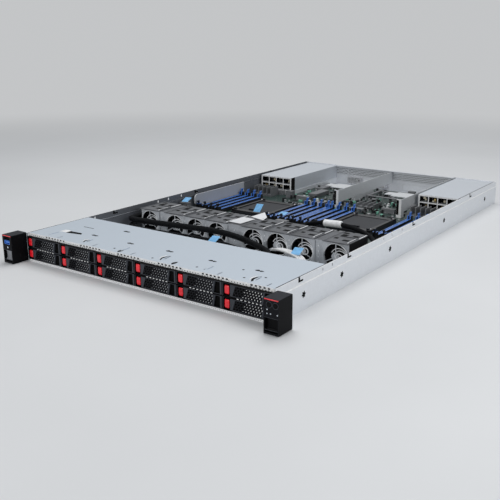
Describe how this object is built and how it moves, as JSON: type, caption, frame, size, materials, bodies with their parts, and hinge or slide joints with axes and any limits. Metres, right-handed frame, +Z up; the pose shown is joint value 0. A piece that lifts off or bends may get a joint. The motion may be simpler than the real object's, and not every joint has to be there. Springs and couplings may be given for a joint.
{
  "type": "rack server",
  "caption": "Flat rack server, top cover off: drive bays behind slanted grilles, fan row, memory banks, processor covers, card risers and pull-out power supplies.",
  "frame": {"origin": "bottom face of the chassis floor, on the middle line, at the front plane of the chassis where the rack ears bear", "axes": "+X to the right seen from the front, +Y to the rear along the chassis depth, +Z up"},
  "size_m": [0.4826, 0.8338, 0.0441],
  "materials": {
    "case_steel": "satin zinc-plated sheet",
    "cage_steel": "satin zinc-plated sheet",
    "cover_steel": "satin, cool grey",
    "fan_plate": "dark grey, matt",
    "fan_frame": "matt black",
    "fan_blade": "matt black",
    "circuit_board": "green solder mask",
    "memory_socket": "blue",
    "memory_latch": "matt black",
    "processor_cover": "dark grey",
    "baffle_plastic": "grey",
    "cable_jacket": "black braid",
    "components": "mixed plastics and metals",
    "port_metal": "plated",
    "screw_steel": "plated",
    "ear_plastic": "dark grey, matt",
    "ear_latch_plastic": "matt black",
    "button_plastic": "light grey",
    "carrier_plastic": "charcoal, matt",
    "lever_plastic": "charcoal with a red catch",
    "supply_case": "satin",
    "supply_latch": "dark red"
  },
  "bodies": {
    "chassis": {"chassis_tray": "case_steel", "rear_panel": "case_steel", "front_top_cover": "cover_steel", "drive_cage": "cage_steel", "drive_backplane": "circuit_board", "left_ear_housing": "ear_plastic", "right_ear_housing": "ear_plastic", "fan_cage": "fan_plate", "fan_frames": "fan_frame", "mainboard": "circuit_board", "cpu_sockets": "processor_cover", "dimm_sockets": "memory_socket", "air_baffles": "baffle_plastic", "riser_cages": "case_steel", "cable_harness": "cable_jacket", "board_components": "components", "io_ports": "port_metal", "chassis_screws": "screw_steel"},
    "carrier_01": {"drive_carrier_01": "carrier_plastic"},
    "lever_01": {"drive_lever_01": "lever_plastic"},
    "carrier_02": {"drive_carrier_02": "carrier_plastic"},
    "lever_02": {"drive_lever_02": "lever_plastic"},
    "carrier_03": {"drive_carrier_03": "carrier_plastic"},
    "lever_03": {"drive_lever_03": "lever_plastic"},
    "carrier_04": {"drive_carrier_04": "carrier_plastic"},
    "lever_04": {"drive_lever_04": "lever_plastic"},
    "carrier_05": {"drive_carrier_05": "carrier_plastic"},
    "lever_05": {"drive_lever_05": "lever_plastic"},
    "carrier_06": {"drive_carrier_06": "carrier_plastic"},
    "lever_06": {"drive_lever_06": "lever_plastic"},
    "carrier_07": {"drive_carrier_07": "carrier_plastic"},
    "lever_07": {"drive_lever_07": "lever_plastic"},
    "carrier_08": {"drive_carrier_08": "carrier_plastic"},
    "lever_08": {"drive_lever_08": "lever_plastic"},
    "carrier_09": {"drive_carrier_09": "carrier_plastic"},
    "lever_09": {"drive_lever_09": "lever_plastic"},
    "carrier_10": {"drive_carrier_10": "carrier_plastic"},
    "lever_10": {"drive_lever_10": "lever_plastic"},
    "carrier_11": {"drive_carrier_11": "carrier_plastic"},
    "lever_11": {"drive_lever_11": "lever_plastic"},
    "carrier_12": {"drive_carrier_12": "carrier_plastic"},
    "lever_12": {"drive_lever_12": "lever_plastic"},
    "fan_1": {"fan_rotor_1": "fan_blade"},
    "fan_2": {"fan_rotor_2": "fan_blade"},
    "fan_3": {"fan_rotor_3": "fan_blade"},
    "fan_4": {"fan_rotor_4": "fan_blade"},
    "fan_5": {"fan_rotor_5": "fan_blade"},
    "fan_6": {"fan_rotor_6": "fan_blade"},
    "fan_7": {"fan_rotor_7": "fan_blade"},
    "fan_8": {"fan_rotor_8": "fan_blade"},
    "psu_left": {"psu_left": "supply_case"},
    "psu_left_latch": {"psu_left_latch": "supply_latch"},
    "psu_right": {"psu_right": "supply_case"},
    "psu_right_latch": {"psu_right_latch": "supply_latch"},
    "power_button": {"power_button": "button_plastic"},
    "id_button": {"id_button": "button_plastic"},
    "dimm_latches_front": {"dimm_latches_front": "memory_latch"},
    "dimm_latches_rear": {"dimm_latches_rear": "memory_latch"},
    "left_ear_latch": {"left_ear_latch": "ear_latch_plastic"},
    "right_ear_latch": {"right_ear_latch": "ear_latch_plastic"}
  },
  "joints": [
    {"name": "carrier_01_slide", "type": "slide", "parent": "chassis", "child": "carrier_01", "axis": [0, -1, 0], "range_m": [0, 0.105]},
    {"name": "lever_01_hinge", "type": "hinge", "parent": "carrier_01", "child": "lever_01", "pos_m": [-0.1506, 0.002, 0.0126], "axis": [0, 0, 1], "range_deg": [0, 65]},
    {"name": "carrier_02_slide", "type": "slide", "parent": "chassis", "child": "carrier_02", "axis": [0, -1, 0], "range_m": [0, 0.105]},
    {"name": "lever_02_hinge", "type": "hinge", "parent": "carrier_02", "child": "lever_02", "pos_m": [-0.0784, 0.002, 0.0126], "axis": [0, 0, 1], "range_deg": [0, 65]},
    {"name": "carrier_03_slide", "type": "slide", "parent": "chassis", "child": "carrier_03", "axis": [0, -1, 0], "range_m": [0, 0.105]},
    {"name": "lever_03_hinge", "type": "hinge", "parent": "carrier_03", "child": "lever_03", "pos_m": [-0.0062, 0.002, 0.0126], "axis": [0, 0, 1], "range_deg": [0, 65]},
    {"name": "carrier_04_slide", "type": "slide", "parent": "chassis", "child": "carrier_04", "axis": [0, -1, 0], "range_m": [0, 0.105]},
    {"name": "lever_04_hinge", "type": "hinge", "parent": "carrier_04", "child": "lever_04", "pos_m": [0.066, 0.002, 0.0126], "axis": [0, 0, 1], "range_deg": [0, 65]},
    {"name": "carrier_05_slide", "type": "slide", "parent": "chassis", "child": "carrier_05", "axis": [0, -1, 0], "range_m": [0, 0.105]},
    {"name": "lever_05_hinge", "type": "hinge", "parent": "carrier_05", "child": "lever_05", "pos_m": [0.1382, 0.002, 0.0126], "axis": [0, 0, 1], "range_deg": [0, 65]},
    {"name": "carrier_06_slide", "type": "slide", "parent": "chassis", "child": "carrier_06", "axis": [0, -1, 0], "range_m": [0, 0.105]},
    {"name": "lever_06_hinge", "type": "hinge", "parent": "carrier_06", "child": "lever_06", "pos_m": [0.2104, 0.002, 0.0126], "axis": [0, 0, 1], "range_deg": [0, 65]},
    {"name": "carrier_07_slide", "type": "slide", "parent": "chassis", "child": "carrier_07", "axis": [0, -1, 0], "range_m": [0, 0.105]},
    {"name": "lever_07_hinge", "type": "hinge", "parent": "carrier_07", "child": "lever_07", "pos_m": [-0.1506, 0.002, 0.0302], "axis": [0, 0, 1], "range_deg": [0, 65]},
    {"name": "carrier_08_slide", "type": "slide", "parent": "chassis", "child": "carrier_08", "axis": [0, -1, 0], "range_m": [0, 0.105]},
    {"name": "lever_08_hinge", "type": "hinge", "parent": "carrier_08", "child": "lever_08", "pos_m": [-0.0784, 0.002, 0.0302], "axis": [0, 0, 1], "range_deg": [0, 65]},
    {"name": "carrier_09_slide", "type": "slide", "parent": "chassis", "child": "carrier_09", "axis": [0, -1, 0], "range_m": [0, 0.105]},
    {"name": "lever_09_hinge", "type": "hinge", "parent": "carrier_09", "child": "lever_09", "pos_m": [-0.0062, 0.002, 0.0302], "axis": [0, 0, 1], "range_deg": [0, 65]},
    {"name": "carrier_10_slide", "type": "slide", "parent": "chassis", "child": "carrier_10", "axis": [0, -1, 0], "range_m": [0, 0.105]},
    {"name": "lever_10_hinge", "type": "hinge", "parent": "carrier_10", "child": "lever_10", "pos_m": [0.066, 0.002, 0.0302], "axis": [0, 0, 1], "range_deg": [0, 65]},
    {"name": "carrier_11_slide", "type": "slide", "parent": "chassis", "child": "carrier_11", "axis": [0, -1, 0], "range_m": [0, 0.105]},
    {"name": "lever_11_hinge", "type": "hinge", "parent": "carrier_11", "child": "lever_11", "pos_m": [0.1382, 0.002, 0.0302], "axis": [0, 0, 1], "range_deg": [0, 65]},
    {"name": "carrier_12_slide", "type": "slide", "parent": "chassis", "child": "carrier_12", "axis": [0, -1, 0], "range_m": [0, 0.105]},
    {"name": "lever_12_hinge", "type": "hinge", "parent": "carrier_12", "child": "lever_12", "pos_m": [0.2104, 0.002, 0.0302], "axis": [0, 0, 1], "range_deg": [0, 65]},
    {"name": "fan_1_spin", "type": "hinge", "parent": "chassis", "child": "fan_1", "pos_m": [-0.176, 0.229, 0.0212], "axis": [0, 1, 0], "continuous": true},
    {"name": "fan_2_spin", "type": "hinge", "parent": "chassis", "child": "fan_2", "pos_m": [-0.121, 0.229, 0.0212], "axis": [0, 1, 0], "continuous": true},
    {"name": "fan_3_spin", "type": "hinge", "parent": "chassis", "child": "fan_3", "pos_m": [-0.0777, 0.229, 0.0212], "axis": [0, 1, 0], "continuous": true},
    {"name": "fan_4_spin", "type": "hinge", "parent": "chassis", "child": "fan_4", "pos_m": [-0.0344, 0.229, 0.0212], "axis": [0, 1, 0], "continuous": true},
    {"name": "fan_5_spin", "type": "hinge", "parent": "chassis", "child": "fan_5", "pos_m": [0.0344, 0.229, 0.0212], "axis": [0, 1, 0], "continuous": true},
    {"name": "fan_6_spin", "type": "hinge", "parent": "chassis", "child": "fan_6", "pos_m": [0.0777, 0.229, 0.0212], "axis": [0, 1, 0], "continuous": true},
    {"name": "fan_7_spin", "type": "hinge", "parent": "chassis", "child": "fan_7", "pos_m": [0.121, 0.229, 0.0212], "axis": [0, 1, 0], "continuous": true},
    {"name": "fan_8_spin", "type": "hinge", "parent": "chassis", "child": "fan_8", "pos_m": [0.176, 0.229, 0.0212], "axis": [0, 1, 0], "continuous": true},
    {"name": "psu_left_slide", "type": "slide", "parent": "chassis", "child": "psu_left", "axis": [0, 1, 0], "range_m": [0, 0.185]},
    {"name": "psu_left_latch_hinge", "type": "hinge", "parent": "psu_left", "child": "psu_left_latch", "pos_m": [-0.1412, 0.7855, 0.0313], "axis": [0, 0, 1], "range_deg": [0, 14], "stiffness_Nm_per_rad": 0.15},
    {"name": "psu_right_slide", "type": "slide", "parent": "chassis", "child": "psu_right", "axis": [0, 1, 0], "range_m": [0, 0.185]},
    {"name": "psu_right_latch_hinge", "type": "hinge", "parent": "psu_right", "child": "psu_right_latch", "pos_m": [0.1412, 0.7855, 0.0313], "axis": [0, 0, -1], "range_deg": [0, 14], "stiffness_Nm_per_rad": 0.15},
    {"name": "power_button_press", "type": "slide", "parent": "chassis", "child": "power_button", "axis": [0, 1, 0], "range_m": [0, 0.0012], "stiffness_N_per_m": 400},
    {"name": "id_button_press", "type": "slide", "parent": "chassis", "child": "id_button", "axis": [0, 1, 0], "range_m": [0, 0.0012], "stiffness_N_per_m": 400},
    {"name": "dimm_latches_front_hinge", "type": "hinge", "parent": "chassis", "child": "dimm_latches_front", "pos_m": [0, 0.3722, 0.0106], "axis": [1, 0, 0], "range_deg": [0, 28]},
    {"name": "dimm_latches_rear_hinge", "type": "hinge", "parent": "chassis", "child": "dimm_latches_rear", "pos_m": [0, 0.5078, 0.0106], "axis": [-1, 0, 0], "range_deg": [0, 28]},
    {"name": "left_ear_latch_hinge", "type": "hinge", "parent": "chassis", "child": "left_ear_latch", "pos_m": [-0.23085, -0.0234, 0.0053], "axis": [1, 0, 0], "range_deg": [0, 60]},
    {"name": "right_ear_latch_hinge", "type": "hinge", "parent": "chassis", "child": "right_ear_latch", "pos_m": [0.23085, -0.0234, 0.0053], "axis": [1, 0, 0], "range_deg": [0, 60]}
  ]
}
